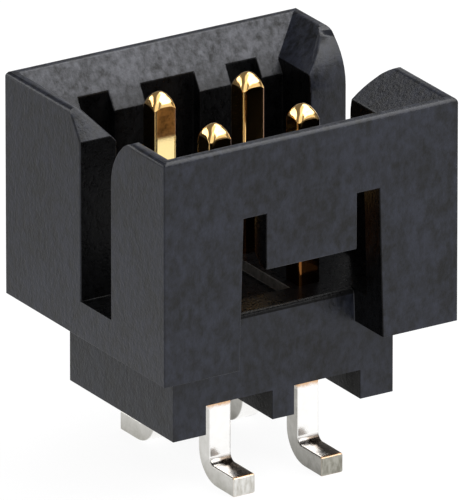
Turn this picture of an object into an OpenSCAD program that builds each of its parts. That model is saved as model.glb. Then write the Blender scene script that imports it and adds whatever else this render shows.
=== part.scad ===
// Shrouded pin header for surface mounting, two rows of two contacts on a 2 mm grid.
// One moulded housing holds four square contacts. Each contact has a domed tip in the
// cavity and a foot that is bent outward onto the board.
// X runs along the wide faces, Y from the front to the rear, Z up from the board.

/* [Shroud] */
// Outside length of the shroud along X
shroud_l = 6.65; // [6.4:0.05:8]
// Outside depth of the shroud along Y
shroud_d = 5.85; // [5.6:0.05:7]
// Height of the rim above the board
rim_z = 7.6; // [7.4:0.05:9]
// Height of the lower edge of the shroud walls above the board
skirt_z = 3.0; // [2.6:0.05:3.4]
// Thickness of the walls at the rim
rim_flat = 0.2; // [0.14:0.01:0.25]
// Radius along the outer edges of the rim
rim_r = 0.1; // [0.04:0.01:0.12]
// Height of the lead-in slope inside the end walls
lead_end_h = 0.7; // [0.5:0.02:0.9]
// Height of the lead-in slope inside the long walls
lead_long_h = 0.98; // [0.6:0.02:1.1]

/* [Base] */
// Length of the base block and of the cavity along X
base_l = 5.0; // [4.8:0.05:5.2]
// Depth of the base block along Y
base_d = 3.8; // [3.6:0.05:4]
// Height of the underside of the base above the board
base_z = 1.35; // [1.1:0.05:1.5]
// Height of the cavity floor above the board
floor_z = 3.68; // [3.6:0.02:3.8]
// Width of each notch under the base
notch_w = 1.5; // [1.1:0.05:1.6]
// Height of each notch under the base
notch_h = 0.6; // [0.3:0.05:0.8]
// Depth of each notch from the face of the base
notch_d = 1.35; // [1.25:0.05:1.6]
// Length along X of the pocket in the cavity floor, between the contacts
pocket_l = 1.15; // [0.6:0.05:1.3]
// Depth along Y of that pocket
pocket_d = 2.4; // [1.6:0.05:2.8]
// How far the pocket goes down into the floor
pocket_h = 0.22; // [0.1:0.02:0.4]

/* [Keyed inner walls] */
// Depth of the cavity along Y, between the ribs of the long walls
cavity_d = 4.24; // [4.1:0.02:4.4]
// How far the key recesses are set back from the ribs
recess_d = 0.22; // [0.1:0.02:0.3]
// Width of the middle recess
recess_mid_w = 1.2; // [0.8:0.05:1.3]
// Width of each side recess
recess_side_w = 0.68; // [0.4:0.02:0.8]
// Distance of each side recess from the middle
recess_side_x = 1.68; // [1.6:0.02:1.8]

/* [Latch window] */
// Width of the tab that hangs in the window of the front wall
tab_w = 2.06; // [1.6:0.02:2.2]
// Width of the slit on each side of the tab
slit_w = 0.5; // [0.35:0.01:0.6]
// Height of the top of the slits above the board
slit_top_z = 6.1; // [5.8:0.05:6.4]
// Height of the lower edge of the tab above the board
tab_z = 4.95; // [4.5:0.05:5.3]
// Thickness of the tab
tab_t = 0.44; // [0.35:0.01:0.5]
// Bevel along the lower inner edge of the tab
tab_bevel = 0.24; // [0.1:0.02:0.3]
// How much further apart the window sides stand at the skirt
flare = 0.09; // [0.01:0.01:0.15]
// Radius along the front edge of the cavity floor, in the window
sill_r = 0.1; // [0.05:0.01:0.3]

/* [End slots] */
// Height of the bottom of both end slots above the board
slot_z = 3.75; // [3.65:0.05:4]
// Width of the slot in the left end wall
left_slot_w = 1.1; // [0.8:0.05:1.3]
// Distance of the left slot from the middle, towards the front
left_slot_y = 0.41; // [0.2:0.01:0.5]
// Width of the slot in the right end wall
right_slot_w = 1.42; // [0.8:0.02:1.5]
// Distance of the right slot from the middle, towards the rear
right_slot_y = 0.4; // [0.2:0.01:0.45]
// Run of the sloped shoulder along the rim
slope_run = 0.4; // [0.2:0.02:0.5]
// Drop of the sloped shoulder
slope_drop = 0.58; // [0.3:0.02:0.8]
// Run of the rounded shoulder along the rim
round_run = 0.73; // [0.5:0.01:0.8]
// Drop of the rounded shoulder
round_drop = 1.05; // [0.9:0.05:1.3]
// Run of the rounded shoulder in front of the right slot
right_run = 0.62; // [0.4:0.02:0.7]
// Drop of that shoulder
right_drop = 1.0; // [0.8:0.05:1.2]

/* [Contacts] */
// Distance between neighbouring contacts, both ways
pitch = 2.0; // [1.9:0.02:2.1]
// Side of the square contact
pin_w = 0.5; // [0.44:0.01:0.55]
// Radius along the edges of the square contact
pin_edge_r = 0.07; // [0.04:0.01:0.1]
// Height of the contact tips above the board
tip_z = 7.33; // [6.8:0.01:7.4]
// Radius at the top of the four-sided dome of the tip
tip_r = 0.2; // [0.12:0.01:0.22]
// Height at which the sides of that dome would stand upright
tip_h = 0.48; // [0.4:0.02:0.7]
// The same height along the corners of the contact
tip_corner_h = 0.6; // [0.5:0.02:0.8]
// Thickness of the flattened tail and foot
tail_t = 0.4; // [0.3:0.01:0.4]
// Distance of the foot ends from the middle of the part
foot_y = 2.08; // [1.9:0.02:2.6]
// Radius along the upper edge of the foot ends
foot_end_r = 0.06; // [0.02:0.01:0.2]
// Radius inside the bend of the tail
bend_in_r = 0.16; // [0.1:0.01:0.2]
// Radius outside the bend of the tail
bend_out_r = 0.66; // [0.4:0.02:0.75]

/* [Hidden] */
$fn = 96;
over = 1;
notch_z = base_z + notch_h;
tail_top_z = notch_z - 0.02;
slit_x = tab_w / 2 + slit_w;
// half width of the bar across its rounded corners
corner_r = (pin_w / 2 - pin_edge_r) * sqrt(2) + pin_edge_r;

// Block centred on the Z axis between two heights
module block(l, d, z0, z1) {
    translate([-l / 2, -d / 2, z0]) cube([l, d, z1 - z0]);
}

// The same shape at both ends or both sides, half a turn apart
module both_ways() {
    children();
    rotate([0, 0, 180]) children();
}

// Cut along Y from the front face of the base outward, from an X-Z outline
module front_cut() {
    translate([0, -base_d / 2, 0]) rotate([90, 0, 0])
        linear_extrude(height = shroud_d) children();
}

// Cut along X from the cavity outward through the left end wall, from a Y-Z outline
module left_cut() {
    translate([-shroud_l, 0, 0]) rotate([90, 0, 90])
        linear_extrude(height = shroud_l - base_l / 2 + 0.01) children();
}

// Window of a long wall: open at the skirt, with a tab hanging between two slits
module window_outline() {
    drop = slit_top_z - skirt_z;
    low = slit_x + flare * (drop + over) / drop;
    polygon([[-low, skirt_z - over], [-slit_x, slit_top_z], [-tab_w / 2, slit_top_z],
             [-tab_w / 2, tab_z], [tab_w / 2, tab_z], [tab_w / 2, slit_top_z],
             [slit_x, slit_top_z], [low, skirt_z - over]]);
}

// Rounded shoulder to the left of a slot side at y: it leaves the side upright and meets the rim
module round_shoulder(y, run, drop) {
    r = (run * run + drop * drop) / (2 * run);
    difference() {
        translate([y - run, rim_z - drop]) square([run + 0.01, drop + over]);
        translate([y - r, rim_z - drop]) circle(r = r);
    }
}

// Slot of the left end wall, with a rounded shoulder in front and a sloped one behind
module left_slot_outline() {
    y0 = -left_slot_y - left_slot_w / 2;
    y1 = -left_slot_y + left_slot_w / 2;
    translate([y0, slot_z]) square([left_slot_w, rim_z - slot_z + over]);
    polygon([[y1 - 0.01, rim_z - slope_drop], [y1, rim_z - slope_drop],
             [y1 + slope_run, rim_z], [y1 + slope_run, rim_z + over],
             [y1 - 0.01, rim_z + over]]);
    round_shoulder(y0, round_run, round_drop);
}

// Slot of the right end wall, half a turn on, with a rounded shoulder on both sides
module right_slot_outline() {
    y0 = -right_slot_y - right_slot_w / 2;
    y1 = -right_slot_y + right_slot_w / 2;
    translate([y0, slot_z]) square([right_slot_w, rim_z - slot_z + over]);
    round_shoulder(y0, round_run, round_drop);
    mirror([1, 0]) round_shoulder(-y1, right_run, right_drop);
}

// Funnel of the lead-in: the slopes of the long walls and of the end walls crossed
module lead_in() {
    y_top = shroud_d / 2 - rim_flat;
    x_top = shroud_l / 2 - rim_flat;
    y_over = over * (y_top - cavity_d / 2) / lead_long_h;
    x_over = over * (x_top - base_l / 2) / lead_end_h;
    intersection() {
        translate([-shroud_l, 0, 0]) rotate([90, 0, 90]) linear_extrude(height = 2 * shroud_l)
            polygon([[-cavity_d / 2, floor_z + 1], [cavity_d / 2, floor_z + 1],
                     [cavity_d / 2, rim_z - lead_long_h], [y_top + y_over, rim_z + over],
                     [-y_top - y_over, rim_z + over], [-cavity_d / 2, rim_z - lead_long_h]]);
        translate([0, shroud_d, 0]) rotate([90, 0, 0]) linear_extrude(height = 2 * shroud_d)
            polygon([[-base_l / 2, floor_z + 1], [base_l / 2, floor_z + 1],
                     [base_l / 2, rim_z - lead_end_h], [x_top + x_over, rim_z + over],
                     [-x_top - x_over, rim_z + over], [-base_l / 2, rim_z - lead_end_h]]);
    }
}

// Key recesses in the inner faces of both long walls
module recesses() {
    d = cavity_d + 2 * recess_d;
    block(recess_mid_w, d, floor_z, rim_z);
    for (s = [-1, 1]) translate([s * recess_side_x, 0, 0])
        block(recess_side_w, d, floor_z, rim_z);
}

// What is taken off inside the tab: it leaves the tab thin, with a bevel along its lower edge
module tab_relief() {
    y0 = -shroud_d / 2 + tab_t;
    translate([-slit_x, 0, 0]) rotate([90, 0, 90]) linear_extrude(height = 2 * slit_x)
        polygon([[y0, tab_z + tab_bevel], [y0 - tab_bevel - 0.02, tab_z - 0.02],
                 [-base_d / 2, tab_z - 0.02], [-base_d / 2, slit_top_z], [y0, slit_top_z]]);
}

// What is taken off the front edge of the cavity floor in the window: it leaves the edge round
module sill_round() {
    y0 = -base_d / 2;
    intersection() {
        translate([0, sill_r, 0]) front_cut() window_outline();
        translate([-shroud_l, 0, 0]) rotate([90, 0, 90]) linear_extrude(height = 2 * shroud_l)
            difference() {
                translate([y0 - 0.01, floor_z - sill_r]) square(sill_r + 0.01);
                translate([y0 + sill_r, floor_z - sill_r]) circle(r = sill_r);
            }
    }
}

// Outline of the shroud from the side, with the upper corners rounded
module shroud_outline(w) {
    h = rim_z - skirt_z;
    translate([-w / 2, skirt_z]) square([w, h - rim_r]);
    translate([-w / 2 + rim_r, skirt_z]) square([w - 2 * rim_r, h]);
    for (s = [-1, 1]) translate([s * (w / 2 - rim_r), rim_z - rim_r]) circle(r = rim_r);
}

// Body of the shroud: both outlines crossed
module shroud_block() {
    intersection() {
        translate([0, shroud_d, 0]) rotate([90, 0, 0]) linear_extrude(height = 2 * shroud_d)
            shroud_outline(shroud_l);
        translate([-shroud_l, 0, 0]) rotate([90, 0, 90]) linear_extrude(height = 2 * shroud_l)
            shroud_outline(shroud_d);
    }
}

module housing() {
    color([0.17, 0.175, 0.185]) difference() {
        union() {
            shroud_block();
            block(base_l, base_d, base_z, floor_z);
        }
        block(base_l, cavity_d, floor_z, rim_z + over);
        recesses();
        lead_in();
        block(pocket_l, pocket_d, floor_z - pocket_h, floor_z + over);
        front_cut() window_outline();
        tab_relief();
        sill_round();
        left_cut() left_slot_outline();
        rotate([0, 0, 180]) left_cut() right_slot_outline();
        both_ways() for (s = [-1, 1])
            translate([s * pitch / 2 - notch_w / 2, -base_d / 2 - over, base_z - over])
                cube([notch_w, notch_d + over, notch_h + over]);
        for (sx = [-1, 1], sy = [-1, 1]) translate([sx * pitch / 2, sy * pitch / 2, 0])
            bar(notch_z - over, floor_z + over);
    }
}

// Square bar with rounded edges, along the Z axis between two heights
module bar(z0, z1) {
    r = pin_edge_r;
    translate([0, 0, z0]) linear_extrude(height = z1 - z0) {
        square([pin_w, pin_w - 2 * r], center = true);
        square([pin_w - 2 * r, pin_w], center = true);
        for (x = [-1, 1], y = [-1, 1])
            translate([x, y] * (pin_w / 2 - r)) circle(r = r);
    }
}

// Tail and foot seen from the side: the foot points along the first axis
module tail_outline() {
    reach = foot_y - pitch / 2;
    h = tail_t / 2;
    difference() {
        union() {
            translate([-h, 0]) square([tail_t, tail_top_z]);
            translate([-h, 0]) square([reach + h, tail_t]);
            difference() {
                translate([h, tail_t]) square(bend_in_r);
                translate([h + bend_in_r, tail_t + bend_in_r]) circle(r = bend_in_r);
            }
        }
        difference() {
            translate([-h - 0.01, -0.01]) square(bend_out_r + 0.01);
            translate([-h + bend_out_r, bend_out_r]) circle(r = bend_out_r);
        }
        difference() {
            translate([reach - foot_end_r, tail_t - foot_end_r]) square(foot_end_r + 0.01);
            translate([reach - foot_end_r, tail_t - foot_end_r]) circle(r = foot_end_r);
        }
    }
}

// Dome of half width w, height h and top radius r, with the room for the bar under it.
// Its side arcs are upright at their foot and tangent to the top arc.
module dome_outline(w, h, r) {
    x = (pow(h - r, 2) - pow(w - r, 2)) / (2 * (w - r));
    foot = tip_z - h;
    top = foot + (w + x) * (h - r) / (w + x - r);
    intersection() {
        translate([-x, foot]) circle(r = w + x);
        translate([x, foot]) circle(r = w + x);
        translate([-pin_w, foot - 0.01]) square([2 * pin_w, top - foot + 0.01]);
    }
    translate([0, tip_z - r]) circle(r = r);
    translate([-pin_w, tail_top_z - over]) square([2 * pin_w, foot - tail_top_z + over]);
}

// The dome over the flats of the bar, in the shape of a vault along Y
module vault() {
    translate([0, pin_w, 0]) rotate([90, 0, 0]) linear_extrude(height = 2 * pin_w)
        dome_outline(pin_w / 2 + 0.035, tip_h, tip_r);
}

// Square bar with a domed tip, then the flattened tail, along the Z axis
module contact() {
    intersection() {
        bar(tail_top_z - 0.05, tip_z);
        vault();
        rotate([0, 0, 90]) vault();
        rotate_extrude() intersection() {
            dome_outline(corner_r + 0.035, tip_corner_h, 1.2 * tip_r);
            translate([0, tail_top_z - over]) square([pin_w, tip_z + over]);
        }
    }
    rotate([90, 0, 0]) rotate([0, -90, 0]) translate([0, 0, -pin_w / 2])
        linear_extrude(height = pin_w) tail_outline();
}

// One contact at its place, with its foot pointing to the front or to the rear
module placed(sx, sy) {
    color([0.85, 0.70, 0.38]) translate([sx * pitch / 2, sy * pitch / 2, 0])
        rotate([0, 0, sy < 0 ? 0 : 180]) contact();
}

module contact_front_left() { placed(-1, -1); }
module contact_front_right() { placed(1, -1); }
module contact_rear_left() { placed(-1, 1); }
module contact_rear_right() { placed(1, 1); }

housing();
contact_front_left();
contact_front_right();
contact_rear_left();
contact_rear_right();
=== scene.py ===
import math

import bmesh
import bpy
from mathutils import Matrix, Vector


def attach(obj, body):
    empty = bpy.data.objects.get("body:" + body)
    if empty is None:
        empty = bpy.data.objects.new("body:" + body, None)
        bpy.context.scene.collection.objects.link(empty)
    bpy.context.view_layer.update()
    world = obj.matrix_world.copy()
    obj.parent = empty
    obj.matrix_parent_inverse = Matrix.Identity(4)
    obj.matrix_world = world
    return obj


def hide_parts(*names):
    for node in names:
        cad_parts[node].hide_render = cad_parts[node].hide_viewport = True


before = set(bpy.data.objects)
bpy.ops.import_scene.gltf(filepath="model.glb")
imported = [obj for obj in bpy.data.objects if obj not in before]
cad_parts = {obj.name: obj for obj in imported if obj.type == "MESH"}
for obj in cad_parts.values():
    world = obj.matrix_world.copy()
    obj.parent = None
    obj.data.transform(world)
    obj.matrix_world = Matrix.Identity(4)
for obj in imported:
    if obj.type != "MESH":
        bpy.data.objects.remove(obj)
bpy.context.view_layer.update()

MM = 0.001
scene = bpy.context.scene


# ---------------------------------------------------------------- geometry
def copy_of(node, name):
    """A clean copy of a CAD node's mesh: welded, with flat faces merged into polygons."""
    bm = bmesh.new()
    bm.from_mesh(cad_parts[node].data)
    bmesh.ops.remove_doubles(bm, verts=bm.verts, dist=2e-4 * MM)
    bmesh.ops.dissolve_limit(bm, angle_limit=math.radians(0.3), verts=bm.verts, edges=bm.edges)
    bmesh.ops.recalc_face_normals(bm, faces=bm.faces)
    me = bpy.data.meshes.new(name)
    bm.to_mesh(me)
    bm.free()
    me.shade_smooth()
    piece = bpy.data.objects.new(name, me)
    scene.collection.objects.link(piece)
    return piece


def edge_weights(piece, rule):
    """Bevel weight of each edge, from a rule that takes the edge's ends in mm and the angle between its faces."""
    bm = bmesh.new()
    bm.from_mesh(piece.data)
    layer = bm.edges.layers.float.get("bevel_weight_edge") or bm.edges.layers.float.new("bevel_weight_edge")
    for e in bm.edges:
        if len(e.link_faces) != 2:
            continue
        a, b = e.verts[0].co / MM, e.verts[1].co / MM
        angle = math.degrees(e.calc_face_angle_signed(0.0))
        e[layer] = rule(a, b, angle)
        e.smooth = e[layer] > 0 or abs(angle) < 30
    bm.to_mesh(piece.data)
    bm.free()


def rounded(piece, width_mm, segments):
    bev = piece.modifiers.new("edge_rounding", "BEVEL")
    bev.limit_method = "WEIGHT"
    bev.width = width_mm * MM
    bev.segments = segments
    bev.profile = 0.5
    bev.use_clamp_overlap = False
    bev.loop_slide = True
    bev.miter_outer = "MITER_SHARP"
    weld = piece.modifiers.new("joined_ends", "WELD")
    weld.merge_threshold = 0.0002 * MM   # joins the points where a rounding runs out
    wn = piece.modifiers.new("face_normals", "WEIGHTED_NORMAL")
    wn.mode = "FACE_AREA"
    wn.weight = 60
    wn.keep_sharp = True


def at_hole(p):
    """True on the wall of a hole that holds a contact."""
    return abs(abs(p.x) - 1.0) < 0.3 and abs(abs(p.y) - 1.0) < 0.3


def at_shoulder(p):
    """True where a shoulder of an end slot runs out into the rounded rim, so that the edges there stay as in the CAD."""
    return p.z > 7.3 and abs(p.x) > 2.6 and abs(p.y) < 2.0


def housing_rule(a, b, angle):
    if abs(angle) < 28 or at_hole(a) and at_hole(b) or at_shoulder(a) and at_shoulder(b):
        return 0.0
    if angle < 0:
        return 0.5
    return 0.3 if max(a.z, b.z) < 3.8 else 0.85   # lower edges are nearly sharp


def contact_rule(a, b, angle):
    return 0.0 if abs(angle) < 22 or max(a.z, b.z) > 1.75 else 1.0


TIP_Z, PIN_HALF, PIN_EDGE, DOME_W, DOME_H = 7.33, 0.25, 0.07, 0.285, 0.48


def bar_outline(steps):
    """Points around the square bar of a contact, in mm, with its rounded edges."""
    points = []
    c = PIN_HALF - PIN_EDGE
    for quarter in range(4):
        turn = math.radians(90 * quarter)
        side = [(PIN_HALF, c * (2 * k / steps - 1)) for k in range(steps)]
        edge = [(c + PIN_EDGE * math.cos(q), c + PIN_EDGE * math.sin(q))
                for q in (math.radians(90 * k / 10) for k in range(10))]
        points += [(x * math.cos(turn) - y * math.sin(turn), x * math.sin(turn) + y * math.cos(turn))
                   for x, y in side + edge]
    return points


def domed_tip(piece, x0, y0, twist_deg):
    """Swap the top of a contact for the same dome as one smooth skin: it is square where it leaves the
    bar and turns round towards the top. A drawn wire may be twisted a little about its axis."""
    cut = TIP_Z - 0.62
    bm = bmesh.new()
    bm.from_mesh(piece.data)
    for level in (1.74, 3.4, 3.8):
        bmesh.ops.bisect_plane(bm, geom=bm.verts[:] + bm.edges[:] + bm.faces[:], dist=1e-9,
                               plane_co=(0, 0, level * MM), plane_no=(0, 0, 1))
    bmesh.ops.bisect_plane(bm, geom=bm.verts[:] + bm.edges[:] + bm.faces[:], dist=1e-9,
                           plane_co=(0, 0, cut * MM), plane_no=(0, 0, 1), clear_outer=True)
    rim = [e for e in bm.edges if e.is_boundary]
    rings = []
    for step in range(48):
        d = 0.60 * (1 - step / 48) ** 1.6
        half = DOME_W * math.sqrt(max(0.0, 1 - max(0.0, 1 - d / DOME_H) ** 2))
        power = 2.4 + 8.0 * d
        ring = []
        for x, y in bar_outline(16):
            r = math.hypot(x, y)
            cx, cy = abs(x) / r, abs(y) / r
            dome = half / (cx ** power + cy ** power) ** (1 / power)
            k = min(1.0, dome / r)
            ring.append(bm.verts.new(((x0 + x * k) * MM, (y0 + y * k) * MM, (TIP_Z - d) * MM)))
        rings.append(ring)
    for low, high in zip(rings, rings[1:]):
        for i in range(len(low)):
            j = (i + 1) % len(low)
            bm.faces.new((low[i], low[j], high[j], high[i]))
    top = bm.verts.new((x0 * MM, y0 * MM, TIP_Z * MM))
    for i in range(len(rings[-1])):
        bm.faces.new((rings[-1][i], rings[-1][(i + 1) % len(rings[-1])], top))
    foot = [bm.edges.get((rings[0][i], rings[0][(i + 1) % len(rings[0])])) for i in range(len(rings[0]))]
    bmesh.ops.bridge_loops(bm, edges=rim + foot)
    turn = math.radians(twist_deg)
    for v in bm.verts:
        if v.co.z > 3.79 * MM:                   # the part that stands in the cavity
            x, y = v.co.x - x0 * MM, v.co.y - y0 * MM
            v.co.x = x0 * MM + x * math.cos(turn) - y * math.sin(turn)
            v.co.y = y0 * MM + x * math.sin(turn) + y * math.cos(turn)
    for f in bm.faces:
        f.smooth = True
    bmesh.ops.recalc_face_normals(bm, faces=bm.faces)
    bm.to_mesh(piece.data)
    bm.free()


housing = copy_of("housing", "housing_moulding")
edge_weights(housing, housing_rule)
rounded(housing, 0.04, 3)
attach(housing, "root")
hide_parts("housing")

contacts = []
for place in ("front_left", "front_right", "rear_left", "rear_right"):
    c = copy_of("contact_" + place, "pin_" + place)
    domed_tip(c, -1.0 if "left" in place else 1.0, -1.0 if "front" in place else 1.0, -3.5 if place == "rear_left" else 0.0)
    edge_weights(c, contact_rule)
    rounded(c, 0.035, 3)
    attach(c, "root")
    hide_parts("contact_" + place)
    contacts.append(c)


# ---------------------------------------------------------------- materials
def material(name):
    m = bpy.data.materials.new(name)
    m.use_nodes = True
    t = m.node_tree
    t.nodes.clear()
    out = t.nodes.new("ShaderNodeOutputMaterial")
    bsdf = t.nodes.new("ShaderNodeBsdfPrincipled")
    t.links.new(bsdf.outputs[0], out.inputs["Surface"])
    return m, t, bsdf


def noise(t, vec, scale, detail, rough=0.5):
    n = t.nodes.new("ShaderNodeTexNoise")
    n.inputs["Scale"].default_value = scale
    n.inputs["Detail"].default_value = detail
    n.inputs["Roughness"].default_value = rough
    t.links.new(vec, n.inputs["Vector"])
    return n.outputs["Fac"]


def stretched(t, vec, scale):
    """Coordinates in mm, stretched by a factor along each axis."""
    m = t.nodes.new("ShaderNodeMapping")
    m.inputs["Scale"].default_value = scale
    t.links.new(vec, m.inputs["Vector"])
    return m.outputs["Vector"]


def span(t, value, lo, hi, out_lo, out_hi, smooth=False):
    r = t.nodes.new("ShaderNodeMapRange")
    r.interpolation_type = "SMOOTHSTEP" if smooth else "LINEAR"
    r.inputs["From Min"].default_value = lo
    r.inputs["From Max"].default_value = hi
    r.inputs["To Min"].default_value = out_lo
    r.inputs["To Max"].default_value = out_hi
    t.links.new(value, r.inputs["Value"])
    return r.outputs["Result"]


def calc(t, op, a, b):
    m = t.nodes.new("ShaderNodeMath")
    m.operation = op
    for i, v in enumerate((a, b)):
        if v is None:
            continue
        if isinstance(v, (int, float)):
            m.inputs[i].default_value = v
        else:
            t.links.new(v, m.inputs[i])
    return m.outputs[0]


def blend(t, fac, a, b):
    m = t.nodes.new("ShaderNodeMix")
    m.data_type = "RGBA"
    t.links.new(fac, m.inputs["Factor"])
    for socket, v in ((m.inputs[6], a), (m.inputs[7], b)):
        if isinstance(v, tuple):
            socket.default_value = v + (1,)
        else:
            t.links.new(v, socket)
    return m.outputs[2]


def bump(t, height, strength, depth_mm):
    b = t.nodes.new("ShaderNodeBump")
    b.inputs["Strength"].default_value = strength
    b.inputs["Distance"].default_value = depth_mm * MM
    t.links.new(height, b.inputs["Height"])
    return b.outputs["Normal"]


def coords(t):
    c = t.nodes.new("ShaderNodeTexCoord")
    return stretched(t, c.outputs["Object"], (1 / MM, 1 / MM, 1 / MM))


# black glass-filled moulding: fibre speckle, cloudy flow marks, fine eroded grain
def moulding(name, low, high, ior, rough, painted_shade_below_z=None):
    """The speckle fades below a height, where one is given: painted shade, darker towards the bottom."""
    m, t, bsdf = material(name)
    mm = coords(t)
    grain = noise(t, mm, 15.0, 3.0, 0.6)
    fibre = noise(t, stretched(t, mm, (7.0, 7.0, 4.5)), 1.0, 4.0, 0.65)
    cloud = noise(t, mm, 0.9, 3.0, 0.5)
    tone = calc(t, "ADD", calc(t, "MULTIPLY", fibre, 0.7), calc(t, "MULTIPLY", cloud, 0.3))
    fac = span(t, tone, 0.38, 0.62, 0.0, 1.0)
    if painted_shade_below_z:
        at = t.nodes.new("ShaderNodeSeparateXYZ")
        t.links.new(mm, at.inputs[0])
        fac = calc(t, "MULTIPLY", fac, span(t, at.outputs["Z"], painted_shade_below_z, painted_shade_below_z + 0.5, 0.25, 1.0))
    t.links.new(blend(t, fac, low, high), bsdf.inputs["Base Color"])
    bsdf.inputs["IOR"].default_value = ior
    t.links.new(span(t, calc(t, "ADD", calc(t, "MULTIPLY", grain, 0.5), calc(t, "MULTIPLY", tone, 0.5)),
                     0.3, 0.7, rough[0], rough[1]), bsdf.inputs["Roughness"])
    t.links.new(bump(t, calc(t, "ADD", calc(t, "MULTIPLY", grain, 0.45), calc(t, "MULTIPLY", fibre, 0.55)), 0.3, 0.05),
                bsdf.inputs["Normal"])
    return m


def finish_of(c, n):
    """Which finish a face of the moulding has: 0 outside, 1 inside (a darker copy: painted shade), 2 slopes at the
    mouth (a lighter speckle: painted sheen), 3 pocket walls (a lighter copy: painted light), 4 the ends of the base (a
    darker copy: painted shade)."""
    # ends of the base under the overhang of the shroud: a darker copy of the moulding, painted shade
    if c.z < 3.0 and abs(n.x) > 0.5 and abs(c.x) > 2.45:
        return 4
    # slopes at the mouth: a lighter speckle, painted sheen
    if c.z > 6.3 and 0.1 < n.z < 0.95:
        return 2 if abs(n.x) < 0.3 and abs(c.x) < 2.6 and abs(c.y) < 2.8 else 0
    if 3.5 < c.z < 3.76 and c.y < -1.6 and n.z > 0.2:         # round edge of the sill, in the shade of the tab
        return 1
    if c.z > 4 and c.x > 2.5 and n.y < -0.5:                  # side of the right slot, open to the light
        return 0
    # walls of the pocket in the floor: a lighter copy of the moulding, painted light
    if 3.48 < c.z < 3.66 and abs(n.z) < 0.5 and abs(c.x) < 0.65 and abs(c.y) < 1.3:
        return 3
    # inside the cavity, the notches and under the base: a darker copy of the moulding, painted shade
    if c.z > 3.2:
        return 1 if abs(c.x) < 3.3 and abs(c.y) < 2.9 and n.z < 0.3 or n.z > 0.9 and c.z < 3.8 else 0
    return 1 if c.z < 1.98 and abs(c.x) < 2.4 and abs(c.y) < 1.88 and (c.z > 1.4 or abs(n.z) < 0.5) else 0


# lighter and darker copies of one moulding: inside and base ends darker (painted shade), slopes and pocket walls
# lighter (painted light)
for finish in (("glass_filled_black", (0.0004, 0.0006, 0.0014), (0.0125, 0.0145, 0.0235), 1.38, (0.27, 0.43)),
               ("glass_filled_inside", (0.0006, 0.0006, 0.0007), (0.0040, 0.0041, 0.0046), 1.2, (0.22, 0.36)),
               ("glass_filled_slopes", (0.0006, 0.0008, 0.0012), (0.0860, 0.0880, 0.1000), 1.33, (0.27, 0.43), 6.6),
               ("glass_filled_scuffed", (0.0300, 0.0295, 0.0290), (0.0900, 0.0880, 0.0860), 1.3, (0.40, 0.60)),
               ("glass_filled_base", (0.0004, 0.0006, 0.0012), (0.0105, 0.0122, 0.0180), 1.31, (0.27, 0.43))):
    housing.data.materials.append(moulding(*finish))
for f in housing.data.polygons:
    f.material_index = finish_of(f.center / MM, f.normal)

# contact: gold above the base, bright tin on the tail, bare shear marks on the foot ends
plated, t, bsdf = material("plated_contact")
bsdf.inputs["Anisotropic"].default_value = 0.85          # drawn wire: blurred across its length
mm = coords(t)
sep = t.nodes.new("ShaderNodeSeparateXYZ")
t.links.new(mm, sep.inputs[0])
mottle = noise(t, mm, 6.0, 4.0, 0.6)
drawn = noise(t, stretched(t, mm, (38.0, 38.0, 1.6)), 1.0, 3.0, 0.6)
fine = noise(t, mm, 40.0, 2.0, 0.5)
gold_z = calc(t, "ADD", sep.outputs["Z"], span(t, mottle, 0.3, 0.7, -0.03, 0.03))
gold = span(t, gold_z, 1.52, 1.62, 0.0, 1.0, True)
mottled = span(t, mottle, 0.3, 0.7, 0.0, 1.0)
reach = calc(t, "ABSOLUTE", sep.outputs["Y"], None)
aside = calc(t, "ABSOLUTE", calc(t, "SUBTRACT", calc(t, "ABSOLUTE", sep.outputs["X"], None), 1.0), None)
tail = span(t, sep.outputs["Z"], 1.5, 1.6, 1.0, 0.0)
side = calc(t, "MULTIPLY", span(t, aside, 0.225, 0.245, 0.0, 1.0), tail)
end = span(t, reach, 2.06, 2.075, 0.0, 1.0)
bare = span(t, reach, 2.0, 2.04, 0.0, 1.0)
stain = span(t, sep.outputs["Z"], 1.9, 2.0, 1.0, 0.0)
right_pin_shade = span(t, sep.outputs["X"], -0.4, 0.4, 0.0, 1.0)
facing = t.nodes.new("ShaderNodeNewGeometry")
facing_sep = t.nodes.new("ShaderNodeSeparateXYZ")
t.links.new(facing.outputs["Normal"], facing_sep.inputs[0])
# upper side of the foot and the inside of its bend: painted shade, a dark brownish reflection
foot_top_shade = calc(t, "MULTIPLY", span(t, facing_sep.outputs["Z"], 0.1, 0.5, 0.0, 1.0),
               span(t, sep.outputs["Z"], 0.6, 0.7, 1.0, 0.0))
sideways = calc(t, "SUBTRACT", sep.outputs["X"], calc(t, "SIGN", sep.outputs["X"], None))
foot_top_shade = calc(t, "MULTIPLY", foot_top_shade, span(t, sideways, -0.10, 0.04, 0.62, 1.0, True))
gold_tone = blend(t, mottled, (0.97, 0.58, 0.20), (1.0, 0.68, 0.29))
# painted shade: the gold is darker lower down in the cavity, in two steps
cavity_shade = span(t, sep.outputs["Z"], 4.9, 5.6, 1.0, 0.0, True)
gold_tone = blend(t, cavity_shade, gold_tone, (0.30, 0.14, 0.045))
gold_tone = blend(t, span(t, sep.outputs["Z"], 4.6, 5.1, 1.0, 0.0, True), gold_tone, (0.19, 0.075, 0.020))
# the right-facing edges of the bars are painted darker: painted shade
edge = calc(t, "MULTIPLY", span(t, facing_sep.outputs["X"], 0.12, 0.28, 0.0, 1.0), span(t, facing_sep.outputs["X"], 0.85, 0.95, 1.0, 0.0))
edge = calc(t, "MULTIPLY", edge, span(t, calc(t, "ABSOLUTE", facing_sep.outputs["Z"], None), 0.1, 0.3, 1.0, 0.0))
gold_tone = blend(t, edge, gold_tone, (0.24, 0.13, 0.075))
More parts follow.
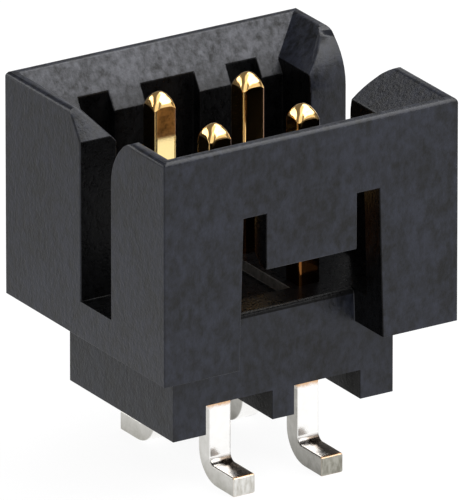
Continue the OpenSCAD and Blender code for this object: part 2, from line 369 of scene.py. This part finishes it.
# the contact at the rear left has a painted dark reflection on its upper front and a painted bright reflection below
rear_left = calc(t, "MULTIPLY", span(t, sep.outputs["X"], -0.6, -0.5, 1.0, 0.0), span(t, sep.outputs["Y"], 0.5, 0.6, 0.0, 1.0))
upper = span(t, sep.outputs["Z"], 6.44, 6.50, 0.0, 1.0)
painted_dark_reflection = calc(t, "MULTIPLY", calc(t, "MULTIPLY", upper, rear_left), span(t, facing_sep.outputs["Y"], -0.975, -0.94, 1.0, 0.0))
gold_tone = blend(t, calc(t, "MULTIPLY", rear_left, calc(t, "SUBTRACT", span(t, sep.outputs["Z"], 5.2, 5.6, 0.0, 1.0), upper)),
                  gold_tone, (1.0, 0.77, 0.36))
gold_tone = blend(t, painted_dark_reflection, gold_tone, blend(t, mottled, (0.09, 0.040, 0.011), (0.36, 0.155, 0.036)))
t.links.new(calc(t, "SUBTRACT", 1.0, calc(t, "MULTIPLY", painted_dark_reflection, 0.8)), bsdf.inputs["Metallic"])
tin_tone = blend(t, mottled, (0.93, 0.92, 0.90), (0.98, 0.975, 0.96))
copper = blend(t, span(t, fine, 0.3, 0.7, 0.0, 1.0), (0.60, 0.36, 0.20), (0.78, 0.52, 0.33))
streak = span(t, noise(t, stretched(t, mm, (16.0, 4.0, 6.0)), 1.0, 3.0), 0.35, 0.65, 0.0, 1.0)
# the foot ends of the right contacts are a darker copy: painted shade
shear = blend(t, right_pin_shade, blend(t, streak, (0.56, 0.54, 0.49), (0.80, 0.79, 0.76)),
              blend(t, streak, (0.26, 0.25, 0.21), (0.42, 0.41, 0.36)))
# sides of the tail: greyer sheared metal, with painted shade, darker towards the bottom and darker on the right
# contacts
height = calc(t, "ADD", calc(t, "MULTIPLY", mottled, 0.35), span(t, sep.outputs["Z"], 0.0, 0.55, 0.0, 0.65))
blank = blend(t, right_pin_shade, blend(t, height, (0.36, 0.35, 0.31), (0.74, 0.73, 0.70)),
              blend(t, height, (0.15, 0.145, 0.125), (0.48, 0.47, 0.44)))
body = blend(t, gold, tin_tone, blend(t, stain, gold_tone, copper))
body = blend(t, foot_top_shade, body, blend(t, mottled, (0.10, 0.08, 0.065), (0.26, 0.20, 0.15)))
body = blend(t, bare, body, copper)
body = blend(t, side, body, blank)
t.links.new(blend(t, end, body, shear), bsdf.inputs["Base Color"])
wire = calc(t, "ADD", calc(t, "MULTIPLY", drawn, 0.6), calc(t, "MULTIPLY", fine, 0.4))
tip = span(t, sep.outputs["Z"], 6.9, 7.0, 0.0, 1.0, True)
polish = calc(t, "ADD", calc(t, "MULTIPLY", span(t, wire, 0.3, 0.7, 0.06, 0.12), tip),
              calc(t, "MULTIPLY", span(t, wire, 0.3, 0.7, 0.08, 0.13), calc(t, "SUBTRACT", 1.0, tip)))
tinned = span(t, mottle, 0.3, 0.7, 0.10, 0.20)
both = calc(t, "ADD", calc(t, "MULTIPLY", polish, gold), calc(t, "MULTIPLY", tinned, calc(t, "SUBTRACT", 1.0, gold)))
worn = calc(t, "MAXIMUM", calc(t, "MULTIPLY", calc(t, "MAXIMUM", bare, side), 0.22), calc(t, "MULTIPLY", foot_top_shade, 0.10))
t.links.new(calc(t, "ADD", both, worn), bsdf.inputs["Roughness"])
t.links.new(bump(t, calc(t, "ADD", calc(t, "MULTIPLY", drawn, 0.3), calc(t, "MULTIPLY", fine, 0.7)), 0.05, 0.003),
            bsdf.inputs["Normal"])
for c in contacts:
    c.data.materials.append(plated)

# ---------------------------------------------------------------- floor, light, camera
bm = bmesh.new()
bmesh.ops.create_circle(bm, cap_ends=True, segments=64, radius=0.6)
me = bpy.data.meshes.new("floor")
bm.to_mesh(me)
bm.free()
floor = bpy.data.objects.new("floor", me)
scene.collection.objects.link(floor)
white, t, bsdf = material("light_table")
bsdf.inputs["Base Color"].default_value = (0.10, 0.10, 0.10, 1)
bsdf.inputs["Roughness"].default_value = 0.9
bsdf.inputs["Specular IOR Level"].default_value = 0.1
bsdf.inputs["Emission Color"].default_value = (1, 1, 1, 1)
mm = coords(t)
across = t.nodes.new("ShaderNodeVectorMath")
across.operation = "DOT_PRODUCT"
across.inputs[1].default_value = (-0.8486, 0.5291, 0)
t.links.new(mm, across.inputs[0])
# the light table fades gently to the left of the part
t.links.new(span(t, across.outputs["Value"], 5.0, 14.0, 0.92, 0.55, True), bsdf.inputs["Emission Strength"])
me.materials.append(white)

world = bpy.data.worlds.new("studio")
scene.world = world
world.use_nodes = True
t = world.node_tree
bg = t.nodes["Background"]
view = t.nodes.new("ShaderNodeTexCoord")
sep = t.nodes.new("ShaderNodeSeparateXYZ")
t.links.new(view.outputs["Generated"], sep.inputs[0])


def glow(direction, inner_deg, outer_deg, amount):
    """A round patch of light in the surroundings, full inside one angle and gone outside another."""
    d = t.nodes.new("ShaderNodeVectorMath")
    d.operation = "DOT_PRODUCT"
    d.inputs[1].default_value = Vector(direction).normalized()
    t.links.new(view.outputs["Generated"], d.inputs[0])
    return span(t, d.outputs["Value"], math.cos(math.radians(outer_deg)), math.cos(math.radians(inner_deg)),
                0.0, amount, True)


# as bright as the floor at the horizon, dim higher up, with a white ceiling and a white screen in front
sky = span(t, sep.outputs["Z"], 0.08, 0.24, 1.0, 0.18, True)
sky = calc(t, "ADD", sky, glow((0.05, -0.15, 1.0), 24, 42, 1.1))
sky = calc(t, "ADD", sky, glow((-0.56, -0.68, 0.47), 24, 40, 1.0))
sky = calc(t, "ADD", sky, glow((0.49, -0.80, 0.30), 8, 22, 0.8))
t.links.new(sky, bg.inputs["Strength"])
bg.inputs["Color"].default_value = (1, 1, 1, 1)


def softbox(name, direction, distance, size, radiance, colour=(1, 1, 1)):
    """A rectangular lamp that faces the part from a direction, with a set brightness of its face."""
    place = Vector(direction).normalized() * distance + Vector((0, 0, 4 * MM))
    lamp = bpy.data.lights.new(name, "AREA")
    lamp.shape = "RECTANGLE"
    lamp.size, lamp.size_y = size
    lamp.color = colour
    lamp.energy = radiance * math.pi * size[0] * size[1]
    o = bpy.data.objects.new(name, lamp)
    scene.collection.objects.link(o)
    o.location = place
    o.rotation_mode = "QUATERNION"
    o.rotation_quaternion = (Vector((0, 0, 4 * MM)) - place).to_track_quat("-Z", "Y")
    return o


softbox("key_box", (0.49, -0.41, 0.77), 0.20, (0.20, 0.18), 3.7)
softbox("top_box", (0.52, 0.30, 0.80), 0.25, (0.16, 0.14), 3.0)
softbox("back_box", (-0.55, 0.80, 0.26), 0.25, (0.17, 0.09), 2.8)

az, el = math.radians(-31.946), math.radians(21.522)
back = Vector((math.sin(az) * math.cos(el), -math.cos(az) * math.cos(el), math.sin(el)))
right = Vector((math.cos(az), math.sin(az), 0))
up = back.cross(right)
PX = 51.836                      # pixels per mm at the object
DIST = 379 * MM
look = Vector((0, 0, 4.35 * MM)) + right * (-0.232 / PX * MM) + up * (-8.435 / PX * MM)
cam_data = bpy.data.cameras.new("camera")
cam_data.sensor_fit = "AUTO"
cam_data.sensor_width = 36
cam_data.lens = 36 * PX * 379 / 500
cam_data.clip_start, cam_data.clip_end = 0.01, 10
cam = bpy.data.objects.new("camera", cam_data)
scene.collection.objects.link(cam)
cam.rotation_mode = "QUATERNION"
cam.location = look + back * DIST
cam.rotation_quaternion = (-back).to_track_quat("-Z", "Y")
scene.camera = cam

scene.view_settings.view_transform = "Standard"
scene.view_settings.look = "None"
